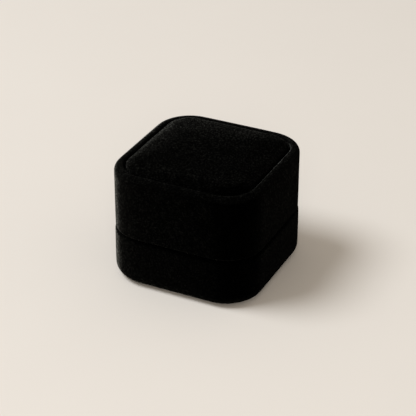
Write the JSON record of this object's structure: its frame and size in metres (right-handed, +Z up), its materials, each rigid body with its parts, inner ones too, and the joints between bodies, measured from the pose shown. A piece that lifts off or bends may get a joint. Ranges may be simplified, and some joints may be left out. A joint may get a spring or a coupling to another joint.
{
  "type": "ring box",
  "caption": "Square velvet-covered ring box with rounded corners: a lift-off lid with an inset padded top, and a padded slot that holds a ring upright.",
  "frame": {"origin": "centre of the felt underside, where the box rests on a table", "axes": "+Z up, the way the lid lifts off; the ring slot runs along X; the front is -Y"},
  "size_m": [0.057, 0.057, 0.0467],
  "materials": {
    "base_velvet": "matte",
    "lid_velvet": "matte",
    "lining_velvet": "matte",
    "satin": "satin",
    "felt": "matte",
    "foam": "matte",
    "tray_plastic": "matte",
    "board": "matte"
  },
  "bodies": {
    "base": {"bottom_felt": "felt", "bottom_board": "board", "base_tray": "tray_plastic", "base_velvet": "base_velvet", "collar_core": "board", "collar_velvet": "lining_velvet", "insert_board": "board", "slot_strip": "lining_velvet", "rear_pad_foam": "foam", "rear_pad_cover": "lining_velvet", "front_pad_foam": "foam", "front_pad_cover": "lining_velvet"},
    "lid": {"lid_cap": "tray_plastic", "lid_velvet": "lid_velvet", "lid_wall_lining": "lining_velvet", "panel_board": "board", "panel_foam": "foam", "panel_velvet": "lid_velvet", "ceiling_board": "board", "ceiling_foam": "foam", "ceiling_satin": "satin"}
  },
  "joints": [
    {"name": "lid_lift", "type": "slide", "parent": "base", "child": "lid", "axis": [0, 0, 1], "range_m": [0, 0.045]}
  ]
}
